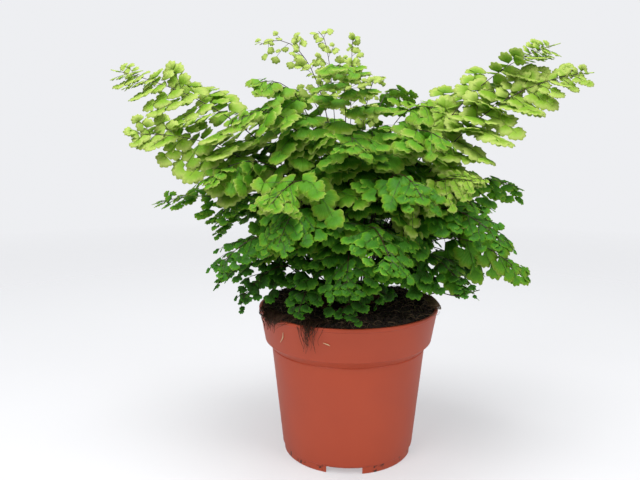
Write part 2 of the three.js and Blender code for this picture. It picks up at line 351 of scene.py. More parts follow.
def dry_fibre(name, dark, light, roughness):
    """Dry plant fibre: matt, and mottled in two shades."""
    material, tree = new_material(name)
    place = add_node(tree, "ShaderNodeTexCoord").outputs["Object"]
    # mottles about 1.1 mm long
    mottles = add_node(tree, "ShaderNodeTexNoise", {"Vector": place, "Scale": 900.0, "Detail": 3.0})
    colour = add_node(
        tree,
        "ShaderNodeMix",
        {"Factor": mottles.outputs["Fac"], "A": linear(dark), "B": linear(light)},
        data_type="RGBA",
    )
    bump = add_node(
        tree,
        "ShaderNodeBump",
        {"Height": mottles.outputs["Fac"], "Strength": 0.5, "Distance": 0.0002},
    )
    surface = add_node(
        tree,
        "ShaderNodeBsdfPrincipled",
        {
            "Base Color": colour.outputs["Result"],
            "Normal": bump.outputs["Normal"],
            "Roughness": roughness,
        },
    )
    add_node(tree, "ShaderNodeOutputMaterial", {"Surface": surface.outputs["BSDF"]})
    return material


def mix_height(x, y):
    """How high the heaped mix stands at a place, with lumps of several sizes."""
    radius = math.hypot(x, y)
    edge = pot_inside[0][0]
    heap = 4.2 * MM * (1 - (radius / edge) ** 2)
    bank = 3.4 * MM * abs(x / edge) ** 1.5 + 2.2 * MM * max(0.0, y / edge)
    rolled_off = 1 - (radius / edge) ** 12
    lumps = 1.9 * MM * noise.noise(Vector((x, y, 0)) * 80) + 1.1 * MM * noise.noise(Vector((x, y, 3)) * 240)
    return POT_HEIGHT + heap + bank * rolled_off + lumps - 0.4 * MM


def mix_body():
    """The mix's closed body: its rough top, and a side that follows the inside of the pot."""
    mesh = bmesh.new()
    lip, shoulder, wall, floor = [(r - 0.3 * MM, z) for r, z in pot_inside]
    levels = [(lip[0], lip[1] - 1 * MM), shoulder, wall, (floor[0], floor[1] + 0.3 * MM)]
    angles = [2 * math.pi * i / MIX_SIDES for i in range(MIX_SIDES)]
    rings = []
    for i in range(1, MIX_RINGS + 1):
        radius = lip[0] * i / MIX_RINGS
        places = [(radius * math.cos(a), radius * math.sin(a)) for a in angles]
        rings.append([mesh.verts.new((x, y, mix_height(x, y))) for x, y in places])
    for radius, height in levels:
        rings.append([mesh.verts.new((radius * math.cos(a), radius * math.sin(a), height)) for a in angles])
    for inner, outer in zip(rings, rings[1:]):
        for i in range(MIX_SIDES):
            j = (i + 1) % MIX_SIDES
            mesh.faces.new((inner[i], outer[i], outer[j], inner[j]))
    top = mesh.verts.new((0, 0, mix_height(0, 0)))
    bottom = mesh.verts.new((0, 0, levels[-1][1]))
    for i in range(MIX_SIDES):
        j = (i + 1) % MIX_SIDES
        mesh.faces.new((top, rings[0][i], rings[0][j]))
        mesh.faces.new((bottom, rings[-1][j], rings[-1][i]))
    bmesh.ops.recalc_face_normals(mesh, faces=mesh.faces)
    return mesh


def new_tree(name, inputs):
    """A Geometry Nodes tree with a geometry input and output and these (name, kind) inputs."""
    tree = bpy.data.node_groups.new(name, "GeometryNodeTree")
    tree.is_modifier = True
    tree.interface.new_socket("Geometry", in_out="INPUT", socket_type="NodeSocketGeometry")
    for label, kind in inputs:
        tree.interface.new_socket(label, in_out="INPUT", socket_type="NodeSocket" + kind)
    tree.interface.new_socket("Geometry", in_out="OUTPUT", socket_type="NodeSocketGeometry")
    return tree, tree.nodes.new("NodeGroupInput").outputs


def run_tree(piece, tree, **values):
    """Runs a tree on a piece, with its inputs given by name, and keeps what it makes."""
    modifier = piece.modifiers.new(tree.name, "NODES")
    modifier.node_group = tree
    for item in tree.interface.items_tree:
        if item.in_out == "INPUT" and item.name in values:
            modifier[item.identifier] = values[item.name]
    apply_modifiers(piece)


def strewn(name, add_shape, least_up, turns, shares):
    """A tree that strews a surface's upper side with a shape, in random turns and sizes."""
    tree, given = new_tree(
        name,
        [("Size", "Float"), ("Density", "Float"), ("Seed", "Int"), ("Material", "Material")],
    )
    normal = add_node(tree, "GeometryNodeInputNormal").outputs[0]
    up = add_node(tree, "ShaderNodeSeparateXYZ", {0: normal}).outputs["Z"]
    upper = add_node(tree, "FunctionNodeCompare", {0: up, 1: least_up}, operation="GREATER_THAN")
    points = add_node(
        tree,
        "GeometryNodeDistributePointsOnFaces",
        {
            "Mesh": given["Geometry"],
            "Selection": upper.outputs[0],
            "Density": given["Density"],
            "Seed": given["Seed"],
        },
    )
    turn = add_node(
        tree,
        "FunctionNodeRandomValue",
        {"Min": turns[0], "Max": turns[1], "Seed": given["Seed"]},
        data_type="FLOAT_VECTOR",
    )
    share = add_node(tree, "FunctionNodeRandomValue", {2: shares[0], 3: shares[1], "Seed": given["Seed"]})
    size = add_node(tree, "ShaderNodeMath", {0: share.outputs[1], 1: given["Size"]}, operation="MULTIPLY")
    copies = add_node(
        tree,
        "GeometryNodeInstanceOnPoints",
        {
            "Points": points.outputs["Points"],
            "Instance": add_shape(tree),
            "Rotation": turn.outputs[0],
            "Scale": size.outputs[0],
        },
    )
    real = add_node(tree, "GeometryNodeRealizeInstances", {0: copies.outputs[0]})
    painted = add_node(
        tree, "GeometryNodeSetMaterial", {"Geometry": real.outputs[0], "Material": given["Material"]}
    )
    both = add_node(tree, "GeometryNodeJoinGeometry", {0: [painted.outputs[0], given["Geometry"]]})
    add_node(tree, "NodeGroupOutput", {0: both.outputs[0]})
    return tree


def crumb(tree):
    """A small lump, one unit across, pushed out of round by noise."""
    ball = add_node(tree, "GeometryNodeMeshIcoSphere", {"Radius": 0.5, "Subdivisions": 2})
    rough = add_node(tree, "ShaderNodeTexNoise", {"Scale": 2.2, "Detail": 1.0})
    centred = add_node(
        tree,
        "ShaderNodeVectorMath",
        {0: rough.outputs["Color"], 1: (0.5, 0.5, 0.5)},
        operation="SUBTRACT",
    )
    lump = add_node(
        tree, "GeometryNodeSetPosition", {"Geometry": ball.outputs[0], "Offset": centred.outputs[0]}
    )
    return lump.outputs[0]


def thread(tree):
    """A short bent fibre, one unit long, as a closed thread."""
    bend = add_node(
        tree,
        "GeometryNodeCurveQuadraticBezier",
        {"Resolution": 5, "Start": (-0.5, 0, -0.1), "Middle": (0, 0.3, 0.45), "End": (0.5, 0, 0)},
    )
    section = add_node(tree, "GeometryNodeCurvePrimitiveCircle", {"Resolution": 3, "Radius": 0.016})
    made = add_node(
        tree,
        "GeometryNodeCurveToMesh",
        {"Curve": bend.outputs[0], "Profile Curve": section.outputs[0], "Fill Caps": True},
    )
    return made.outputs[0]


crumbs = strewn("crumbs", crumb, 0.5, ((0, 0, 0), (6.3, 6.3, 6.3)), (0.3, 1.3))
fibres = strewn("fibres", thread, 0.3, ((-0.7, -0.5, 0), (0.7, 0.5, 6.3)), (0.4, 1.6))
peat_material = peat()
fibre_material = dry_fibre("peat fibre", "#3a281b", "#a58a66", 0.8)
potting_mix = as_object("peat_mix", mix_body())
potting_mix.data.materials.append(peat_material)
run_tree(potting_mix, crumbs, Size=CRUMB, Density=CRUMBS_PER_M2, Seed=4, Material=peat_material)
run_tree(potting_mix, fibres, Size=FIBRE, Density=FIBRES_PER_M2, Seed=9, Material=fibre_material)
smooth_shade(potting_mix, 60)

# ---------------------------------------------------------------- roots, straw and the dry stalk
# Fine roots have crept over the rim and hang down its outside in two tufts. Two slivers of straw
# from the mix stick to the collar, and one old dry stalk leans out over the rim.

STRAND_SIDES = 5


def polar(radius, azimuth, height):
    """A point from its distance to the pot's axis, its azimuth in degrees and its height."""
    angle = math.radians(azimuth)
    return Vector((radius * math.cos(angle), radius * math.sin(angle), height))


def spline_through(points, steps):
    """Points along a smooth curve through a few given ones."""
    ends = [2 * points[0] - points[1], *points, 2 * points[-1] - points[-2]]
    line = []
    for a, b, c, d in zip(ends, ends[1:], ends[2:], ends[3:]):
        square = 2 * a - 5 * b + 4 * c - d
        cube = 3 * b - a - 3 * c + d
        for i in range(steps):
            t = i / steps
            line.append(0.5 * (2 * b + (c - a) * t + square * t**2 + cube * t**3))
    return [*line, points[-1]]


def skeleton(name, strands):
    """Lines as a mesh of edges, each strand a list of (point, thickness) pairs."""
    data = bpy.data.meshes.new(name)
    points = [point for strand in strands for point, _ in strand]
    edges = []
    start = 0
    for strand in strands:
        edges += [(start + i, start + i + 1) for i in range(len(strand) - 1)]
        start += len(strand)
    data.from_pydata(points, edges, [])
    thickness = data.attributes.new("thickness", "FLOAT", "POINT")
    thickness.data.foreach_set("value", [thick for strand in strands for _, thick in strand])
    made = bpy.data.objects.new(name, data)
    bpy.context.scene.collection.objects.link(made)
    return made


def tubes_from(tree, edges, sides, material):
    """Adds the nodes that turn edges into closed tubes as thick as their thickness attribute."""
    thick = add_node(tree, "GeometryNodeInputNamedAttribute", {"Name": "thickness"}, data_type="FLOAT")
    curve = add_node(tree, "GeometryNodeMeshToCurve", {"Mesh": edges})
    section = add_node(tree, "GeometryNodeCurvePrimitiveCircle", {"Resolution": sides, "Radius": 1.0})
    tube = add_node(
        tree,
        "GeometryNodeCurveToMesh",
        {
            "Curve": curve.outputs[0],
            "Profile Curve": section.outputs[0],
            "Scale": thick.outputs[0],
            "Fill Caps": True,
        },
    )
    return add_node(tree, "GeometryNodeSetMaterial", {"Geometry": tube.outputs[0], "Material": material})


def strand_tree():
    """Turns a skeleton into closed tubes."""
    tree, given = new_tree("strands", [("Sides", "Int"), ("Material", "Material")])
    painted = tubes_from(tree, given["Geometry"], given["Sides"], given["Material"])
    add_node(tree, "NodeGroupOutput", {0: painted.outputs[0]})
    return tree


strands = strand_tree()
root_material = dry_fibre("woody root fibre", "#24150d", "#5a3c26", 0.9)
straw_material = dry_fibre("dry straw", "#d9b98a", "#f2dcb8", 0.6)
dry_stalk_material = dry_fibre("dried stalk", "#33231a", "#6a4b38", 0.55)


def tuft(name, azimuth, spread, drop, count, seed, material):
    """A tuft of fine roots over the rim: many short ones, and a few long ones that gather as they hang."""
    random = np.random.default_rng(seed)
    lines = []
    for _ in range(count):
        away = azimuth + random.normal(0, spread)
        hang = drop * (0.1 + 0.9 * random.random() ** 2)
        gathered = azimuth + (away - azimuth) * 0.45 + random.normal(0, 1)
        out = POT_RADIUS + random.uniform(0.4, 2) * MM
        route = [
            polar(POT_RADIUS - random.uniform(7, 14) * MM, away + random.normal(0, 4), POT_HEIGHT + 1.5 * MM),
            polar(POT_RADIUS - 2 * MM, away, POT_HEIGHT + random.uniform(0.8, 3.4) * MM),
            polar(out, (away + gathered) / 2, POT_HEIGHT - 0.3 * hang),
            polar(out - 0.3 * MM, gathered + random.normal(0, 0.9), POT_HEIGHT - 0.7 * hang),
            polar(out, gathered + random.normal(0, 0.9), POT_HEIGHT - hang),
        ]
        line = spline_through(route, 5)
        thick = random.uniform(0.1, 0.3) * MM
        lines.append([(p, thick * (1 - 0.7 * i / len(line))) for i, p in enumerate(line)])
    piece = skeleton(name, lines)
    run_tree(piece, strands, Sides=STRAND_SIDES, Material=material)
    smooth_shade(piece, 60)
    return piece


# the mix's own fringe, where its fibres lie over the rim on the right
fringe = tuft("fringe", 4, 12, 3 * MM, 150, 3, fibre_material)
with bpy.context.temp_override(active_object=potting_mix, selected_editable_objects=[potting_mix, fringe]):
    bpy.ops.object.join()
in_place(potting_mix, "potting_mix", "potting_mix")

in_place(tuft("hanging_roots_front", 245, 3.4, 17 * MM, 46, 5, root_material), "root_fibre", "root_1")
in_place(tuft("hanging_roots_left", 214, 10, 9 * MM, 130, 9, root_material), "root_fibre", "root_2")


def sliver(name, azimuth, height, tilt, length):
    """A bent splinter of straw, stuck to the collar."""
    share = (height - shoulder_top) / COLLAR_HEIGHT
    out = collar_foot + COLLAR_TAPER * share + 0.45 * MM
    middle = polar(out, azimuth, height)
    across = polar(1, azimuth + 90, 0)
    up = (polar(COLLAR_TAPER, azimuth, COLLAR_HEIGHT)).normalized()
    along = up * math.cos(math.radians(tilt)) + across * math.sin(math.radians(tilt))
    bend = across * 0.12 * length
    route = [middle - along * length / 2, middle + bend, middle + along * length / 2]
    line = spline_through(route, 5)
    piece = skeleton(name, [[(p, 0.36 * MM * (1 - abs(i / 5 - 1) * 0.6)) for i, p in enumerate(line)]])
    run_tree(piece, strands, Sides=STRAND_SIDES, Material=straw_material)
    smooth_shade(piece, 60)
    return piece


in_place(sliver("straw_left", 223, 89 * MM, 30, 9 * MM), "straw", "straw_1")
in_place(sliver("straw_front", 255, 90 * MM, -70, 4.5 * MM), "straw", "straw_2")

leaning = spline_through(
    [
        polar(44 * MM, 352, POT_HEIGHT + 2 * MM),
        polar(58 * MM, 350, POT_HEIGHT + 10 * MM),
        polar(72 * MM, 347, POT_HEIGHT + 9.5 * MM),
        polar(86 * MM, 346, POT_HEIGHT + 14.5 * MM),
    ],
    8,
)
tapering = [0.5 * MM * (1 - 0.5 * i / len(leaning)) for i in range(len(leaning))]
dry_stalk = skeleton("old_stalk", [list(zip(leaning, tapering))])
run_tree(dry_stalk, strands, Sides=STRAND_SIDES, Material=dry_stalk_material)
smooth_shade(dry_stalk, 60)
in_place(dry_stalk, "dry_stalk", "dry_stalk")

# ---------------------------------------------------------------- rhizome
# The creeping rhizome that every frond grows from: short knobbly branches, just above the mix and
# covered in small brown scales, which are drawn as crumbs.

rhizome_low, rhizome_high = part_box("rhizome")
RHIZOME_BRANCHES = 16
BRANCH_RADIUS = 2.1 * MM
KNOB = 0.5 * MM
SCALE = 1.6 * MM
SCALES_PER_M2 = 90000


def rhizome_lines():
    """Branches that fan out from the middle, turning and dipping into the mix at their ends."""
    random = np.random.default_rng(21)
    lines = []
    for i in range(RHIZOME_BRANCHES):
        azimuth = 360 * i / RHIZOME_BRANCHES + random.uniform(-9, 9)
        reach = rhizome_high.x * random.uniform(0.75, 1.0)
        top = rhizome_high.z - 3 * MM
        route = [
            polar(1 * MM, azimuth, top - 1 * MM),
            polar(reach * 0.4, azimuth + random.uniform(-14, 14), top),
            polar(reach * 0.75, azimuth + random.uniform(-14, 14), top - 1.5 * MM),
            polar(reach, azimuth + random.uniform(-10, 10), top - 4.5 * MM),
        ]
        line = spline_through(route, 6)
        lines.append([(p, BRANCH_RADIUS + KNOB * math.sin(2.1 * k + i)) for k, p in enumerate(line)])
    return lines


rhizome = skeleton("rhizome_branches", rhizome_lines())
scale_material = dry_fibre("rhizome scales", "#2b190f", "#6b4426", 0.85)
run_tree(rhizome, strands, Sides=8, Material=scale_material)
run_tree(rhizome, crumbs, Size=SCALE, Density=SCALES_PER_M2, Seed=7, Material=scale_material)
smooth_shade(rhizome, 60)
in_place(rhizome, "rhizome_scales", "rhizome")

# ---------------------------------------------------------------- fronds
# Each frond is one leaf: a thin glossy black-brown stalk that arches out, leaf branches to both
# sides of it, and fan-shaped leaflets that overlap along them. Young fronds are lime green, with
# small leaflets on the sprays at the top, older ones are mid green, and the lowest are dark, partly
# as painted shade. Leaflets higher up, further out and further left carry painted light: they are paler.

LEAF_THICKNESS = 0.22 * MM
USUAL_LEAFLET = 12 * MM
STALK_FOOT = 0.62 * MM
STALK_TIP = 0.2 * MM
RHIZOME_RADIUS = rhizome_high.x
RHIZOME_HEIGHT = rhizome_high.z - rhizome_low.z
SEED = 50

# The rings of fronds, youngest first, in millimetres and degrees, as in the solid model. This script
# adds how far the blade faces outwards, a leaflet's length, and the colour from 0, old and dark, to 1,
# lime; the low rings and the fronds over the rim are darker also as painted shade.
RING_VALUES = "count start base reach tip arch lean bare width out leaf age".split()
WHORLS = [
    (5, 46, 6, 62, 242, 22, 0.2, 0.48, 38, 0.55, 17, 0.62),
    (7, 10, 10, 74, 212, 34, 0.25, 0.44, 42, 0.5, 17, 0.58),
    (8, 24, 14, 90, 182, 44, 0.3, 0.38, 42, 0.42, 15, 0.5),
    (8, 5, 18, 98, 152, 50, 0.33, 0.32, 40, 0.26, 12.5, 0.42),
    (7, 12, 22, 88, 132, 44, 0.36, 0.28, 38, 0.22, 11.5, 0.28),
]
WHORL_FRONT = 0.12
TILT = 8  # the rings stand this much higher on the left, and lower on the right

# The fronds that stand clear of the rings, also as in the solid model but for the last two numbers:
# seven long ones, a young one in front, four sprays on top, and five low ones over the rim.
ARM_VALUES = "azimuth base reach tip arch lean bare width front leaf age".split()
ARMS = [
    (178, 9, 151, 254, -30, 0.12, 0.5, 44, 0.45, 16, 0.78),
    (190, 14, 137, 213, 4, 0.2, 0.5, 38, 0.4, 16, 0.76),
    (170, 17, 136, 166, 24, 0.3, 0.6, 24, 0.4, 12, 0.36),
    (4, 9, 134, 271, -25, 0.34, 0.42, 42, 0.35, 16, 0.8),
    (356, 14, 149, 251, -8, 0.34, 0.42, 40, 0.35, 15, 0.8),
    (12, 17, 124, 176, 30, 0.35, 0.5, 34, 0.4, 14, 0.6),
    (345, 21, 114, 124, 54, 0.4, 0.5, 24, 0.5, 15, 0.7),
    (318, 14, 92, 186, 12, 0.3, 0.55, 34, 0.4, 9, 0.9),
    (176, 3, 58, 270, 24, 0.1, 0.66, 24, 0.8, 6, 0.9),
    (146, 6, 24, 280, 0, 0.25, 0.7, 20, 0.8, 6, 0.92),
    (80, 3, 15, 276, 0, 0.25, 0.68, 22, 0.8, 6, 0.92),
    (16, 4, 24, 250, 14, 0.1, 0.72, 18, 0.8, 6, 0.9),
    (268, 25, 60, 108, 34, 0.4, 0.3, 24, 0.3, 12, 0.16),
    (243, 26, 70, 110, 36, 0.4, 0.3, 20, 0.3, 11, 0.14),
    (214, 25, 80, 114, 38, 0.4, 0.3, 26, 0.3, 11, 0.2),
    (290, 26, 50, 114, 22, 0.4, 0.3, 18, 0.3, 11, 0.24),
    (172, 26, 90, 112, 38, 0.4, 0.3, 28, 0.2, 11, 0.26),
]
ARM_OUT = 0.25
SPRAY_LEAF = 8  # a frond whose leaflets are shorter than this is a spray
YOUNG = 0.7  # a frond above this age value is a young one


def sequence(seed):
    """The solid model's fixed sequence of numbers from 0 to 1."""
    state = seed
    while True:
        state = state * 16807 % 2147483647
        yield state / 2147483647


def frond_list():
    """Every frond's own numbers, in the order of the frond nodes."""
    random = sequence(SEED)
    fronds = []

    def around(amount):
        return (next(random) - 0.5) * 2 * amount

    for row in WHORLS:
        whorl = dict(zip(RING_VALUES, row))
        for i in range(whorl["count"]):
            azimuth = whorl["start"] + 360 * i / whorl["count"] + around(6)
            reach = whorl["reach"] * (1 + around(0.12))
            tip = whorl["tip"] + around(12) - TILT * math.cos(math.radians(azimuth))
            own = dict(azimuth=azimuth, reach=reach, tip=tip, sweep=around(12), front=WHORL_FRONT)
            fronds.append({**whorl, **own})
    for row in ARMS:
        fronds.append(dict(zip(ARM_VALUES, row), sweep=0, out=ARM_OUT))
    return fronds


def crown_height(radius):
    """Just above the rhizome at this distance from its middle, in millimetres."""
    share = min(1, radius * MM / RHIZOME_RADIUS)
    return (rhizome_low.z + RHIZOME_HEIGHT * (1 - 0.62 * share**2)) / MM + 0.9


def stalk_line(frond, steps=28):
    """Points evenly spaced along the frond's stalk, from the rhizome to its tip."""
    foot = polar(frond["base"], frond["azimuth"], crown_height(frond["base"]))
    tip = polar(frond["reach"], frond["azimuth"] + frond["sweep"], frond["tip"])
    out = frond["base"] + (frond["reach"] - frond["base"]) * frond["lean"]
    knee = polar(out, frond["azimuth"], frond["tip"] + frond["arch"])
    fine = [foot.lerp(knee, t).lerp(knee.lerp(tip, t), t) * MM for t in np.linspace(0, 1, 200)]
    lengths = np.cumsum([0] + [(b - a).length for a, b in zip(fine, fine[1:])])
    even = np.linspace(0, lengths[-1], steps)
    return [Vector([np.interp(d, lengths, [p[axis] for p in fine]) for axis in range(3)]) for d in even]


def along_line(line, share):
    """The point at this share of a line's length, and the line's direction there."""
    place = share * (len(line) - 1)
    i = min(int(place), len(line) - 2)
    return line[i].lerp(line[i + 1], place - i), (line[i + 1] - line[i]).normalized()


UP = Vector((0, 0, 1))
FRONT = Vector((0, -1, 0))

# How the blades are built. The gaps are shares of a leaflet's length, and a branch longer than this
# many leaflets is divided. The sag and hang are how far a branch and a leaflet bend down for their
# length, and the fronds of long reach bend down less.
LEAFLET_GAP = 0.44
BRANCH_GAP = 0.46
DIVIDED_FROM = 2.6
SAG = (0.2, 0.55)
HANG = (0.25, 0.75)
LONG_REACH = 130
LONG_DROOP = 0.3
SPRAY_BRANCHES_PER_MM = 0.625
GOLDEN_ANGLE = 2.4


def facing(direction, up):
    """The turn that points a leaflet along a direction, with its upper face up."""
    across = direction.cross(up).normalized()
    face = across.cross(direction).normalized()
    return Matrix((across, direction, face)).transposed().to_quaternion()


def grow_branch(root, direction, up, length, leaf, gap, droop, random, divided):
    """One leaf branch: its midrib, with leaflets that overlap like tiles along both sides of it.

    A divided one has a smaller branch in the place of its first leaflet.
    """
    sag = Vector((0, 0, -random.uniform(*SAG) * droop * length))
    bow = direction.cross(up) * random.uniform(-0.12, 0.12) * length
    shares = np.linspace(0, 1, 5)
    line = [root + direction * length * t + sag * t**2 + bow * math.sin(math.pi * t) for t in shares]
    thick = STALK_TIP * (1.2 if divided else 0.8)
    strands = [[(p, thick * (1 - 0.5 * i / 4)) for i, p in enumerate(line)]]
    leaflets = []
    count = max(2, round(length / (leaf * gap)))
    for k in range(count):
        share = (k + 0.4) / (count + 0.2)
        point, ahead = along_line(line, share)
        side = ahead.cross(up).normalized() * (1 if k % 2 else -1)
        size = leaf * (1 - 0.3 * share**1.5) * random.uniform(0.86, 1.08)
        turn = math.radians(random.uniform(50, 70) - 14 * share)
        way = ahead * math.cos(turn) + side * math.sin(turn)
        if divided and k == 0:
            small = (0.4 * length, leaf * 0.92, gap, droop, random, False)
            more = grow_branch(point, way.normalized(), up, *small)
            strands += more[0]
            leaflets += more[1]
            continue
        way.z -= random.uniform(*HANG) * droop
        tilt = up + Vector(random.normal(0, 0.1, 3))
        leaflets.append((point, facing(way.normalized(), tilt), size))
    end = (line[-1] - line[-2]).normalized()
    leaflets.append((line[-1] - end * 0.25 * leaf, facing(end, up), leaf * 0.74))
    return strands, leaflets


def grow_spray(frond, line, random):
    """A young spray: hair-thin branches all round the stalk, each with a few small leaflets."""
    leaf = frond["leaf"] * MM
    strands, leaflets = [], []
    branches = round(SPRAY_BRANCHES_PER_MM * frond["width"])
    for i in range(branches):
        part = i / (branches - 1)
        point, ahead = along_line(line, frond["bare"] + (0.99 - frond["bare"]) * part)
        around = Matrix.Rotation(GOLDEN_ANGLE * i + random.uniform(-0.5, 0.5), 3, ahead)
        side = around @ ahead.orthogonal().normalized()
        side.y *= 0.5
        way = (ahead * random.uniform(0.4, 1.0) + side + Vector((0, 0, 0.1))).normalized()
        length = frond["width"] * MM * (1 - 0.75 * part) * random.uniform(0.5, 1.0)
        sag = Vector((0, 0, -0.25 * length))
        twig = [point + way * length * t + sag * t**2 for t in np.linspace(0, 1, 5)]
        strands.append([(p, STALK_TIP * 0.6) for p in twig])
        count = max(2, round(length / (leaf * 0.55)))
        for k in range(count):
            share = (k + 1) / count
            place, onward = along_line(twig, share)
            aside = onward.cross(Vector((0, -1, 0.5))).normalized() * (1 if k % 2 else -1)
            turned_out = (onward * 0.6 + aside + Vector(random.normal(0, 0.25, 3))).normalized()
            face = Vector((random.normal(0, 0.4), -0.8, 0.7))
            leaflets.append((place, facing(turned_out, face), leaf * random.uniform(0.5, 1.0)))
    return strands, leaflets


def grow_frond(frond, seed):
    """A frond's strands, and its leaflets as (place, turn, size)."""
    random = np.random.default_rng(seed)
    line = stalk_line(frond)
    last = len(line) - 1
    # the youngest stalks are the thinnest
    foot = STALK_FOOT * (0.6 if frond["age"] > 0.9 else 1)
    stalk = [(p, foot + (STALK_TIP - foot) * (i / last) ** 0.7) for i, p in enumerate(line)]
    if frond["leaf"] < SPRAY_LEAF:
        strands, leaflets = grow_spray(frond, line, random)
        return [stalk, *strands], leaflets, random
    strands, leaflets = [stalk], []
    leaf = frond["leaf"] * MM
    share, hand = frond["bare"], 1
    # the older and darker a frond is, the further apart its leaflets stand
    loose = 1 + 0.9 * max(0, YOUNG - frond["age"])
    droop = LONG_DROOP if frond["reach"] > LONG_REACH else 1
    total = sum((b - a).length for a, b in zip(line, line[1:]))
    roll = Vector(random.normal(0, 0.12, 3))
    outward = polar(1, frond["azimuth"] + frond["sweep"] / 2, 0)
    while share < 0.97:
        part = (share - frond["bare"]) / (1 - frond["bare"])
        point, ahead = along_line(line, share)
        spread_out = (ahead + outward).normalized()
        radial = Vector((point.x, point.y, 0)) / (100 * MM)
        own = Vector(random.normal(0, 0.2, 3))
        up = (UP * 0.75 + radial * frond["out"] + FRONT * frond["front"] + roll + own).normalized()
        side = spread_out.cross(up).normalized() * hand
        turn = math.radians(72 - 30 * part + random.uniform(-8, 8))
        way = (spread_out * math.cos(turn) + side * math.sin(turn)).normalized()
        # towards the tip the branches get shorter and their leaflets smaller
        length = frond["width"] * MM * (1 - 0.78 * part) * random.uniform(0.82, 1.1)
        size = leaf * (1 - 0.68 * part**1.4)
        divided = length > DIVIDED_FROM * leaf
        more = grow_branch(point, way, up, length, size, LEAFLET_GAP * loose, droop, random, divided)
        strands += more[0]
        leaflets += more[1]
        share += size * BRANCH_GAP * loose / total
        hand = -hand
    tip, ahead = along_line(line, 1.0)
    leaflets.append((tip - ahead * leaf * 0.2, facing(ahead, UP), leaf * 0.45))
    return strands, leaflets, random


def leaflet_mesh(lobes, spread, cut, cup, seed):
    """A fan-shaped leaflet one unit long: a thin closed solid, its margin cut into rounded lobes.

    It keeps where it is from stalk to margin in "margin" and from side to side in "across", and
    which face is the lower one in "under".
    """
    random = np.random.default_rng(seed)
    columns = 3 * lobes + 1
    rows = (0.58, 1.0)
    offsets = random.uniform(-0.04, 0.04, lobes + 1)
    thickness = LEAF_THICKNESS / USUAL_LEAFLET
    mesh = bmesh.new()
    margin = mesh.verts.layers.float.new("margin")
    across = mesh.verts.layers.float.new("across")
    under = mesh.verts.layers.float.new("under")
    sheets = []
    for face in (1, 0):
        level = thickness * (face - 0.5)
        base = mesh.verts.new((0, 0, level))
        base[under] = 1 - face
        sheet = []
        for row in rows:
            line = []
            for i in range(columns):
                side = 2 * i / (columns - 1) - 1
                angle = math.radians(spread) * side
                lobe = abs(math.sin(math.pi * i / 3))
                edge = (1 - cut * (1 - lobe)) * (1 - 0.26 * side**2) + offsets[i // 3]
                out = row * (1 + (edge - 1) * row**3)
                wave = cup * out**2 * (0.35 - side**2) + 0.035 * row * math.sin(math.pi * i * 2 / 3 + seed)
                height = wave - 0.1 * out**2 + level
                vert = mesh.verts.new((out * math.sin(angle), out * math.cos(angle), height))
                vert[margin], vert[across], vert[under] = row, side, 1 - face
                line.append(vert)
            sheet.append(line)
        sheets.append((base, sheet))
    for face, (base, sheet) in enumerate(sheets):
        order = 1 if face else -1
        for i in range(columns - 1):
            mesh.faces.new((base, sheet[0][i], sheet[0][i + 1])[::order])
            for lower, upper in zip(sheet, sheet[1:]):
                mesh.faces.new((lower[i], upper[i], upper[i + 1], lower[i + 1])[::order])
    top, bottom = (
        [base, *(row[0] for row in sheet), *sheet[-1][1:], *(row[-1] for row in sheet[-2::-1])]
        for base, sheet in sheets
    )
    for i in range(len(top)):
        j = (i + 1) % len(top)
        mesh.faces.new((top[i], top[j], bottom[j], bottom[i]))
    bmesh.ops.recalc_face_normals(mesh, faces=mesh.faces)
    return mesh


leaflet_shapes = bpy.data.collections.new("leaflets")
SHAPES = [
    dict(lobes=4, spread=64, cut=0.14, cup=0.14, seed=1),
    dict(lobes=5, spread=74, cut=0.12, cup=0.1, seed=2),
    dict(lobes=4, spread=58, cut=0.16, cup=0.16, seed=3),
    dict(lobes=5, spread=70, cut=0.13, cup=0.06, seed=4),
]
for number, shape in enumerate(SHAPES):
    made = as_object(f"leaflet_{number}", leaflet_mesh(**shape))
    made.data.shade_smooth()
    bpy.context.scene.collection.objects.unlink(made)
    leaflet_shapes.objects.link(made)


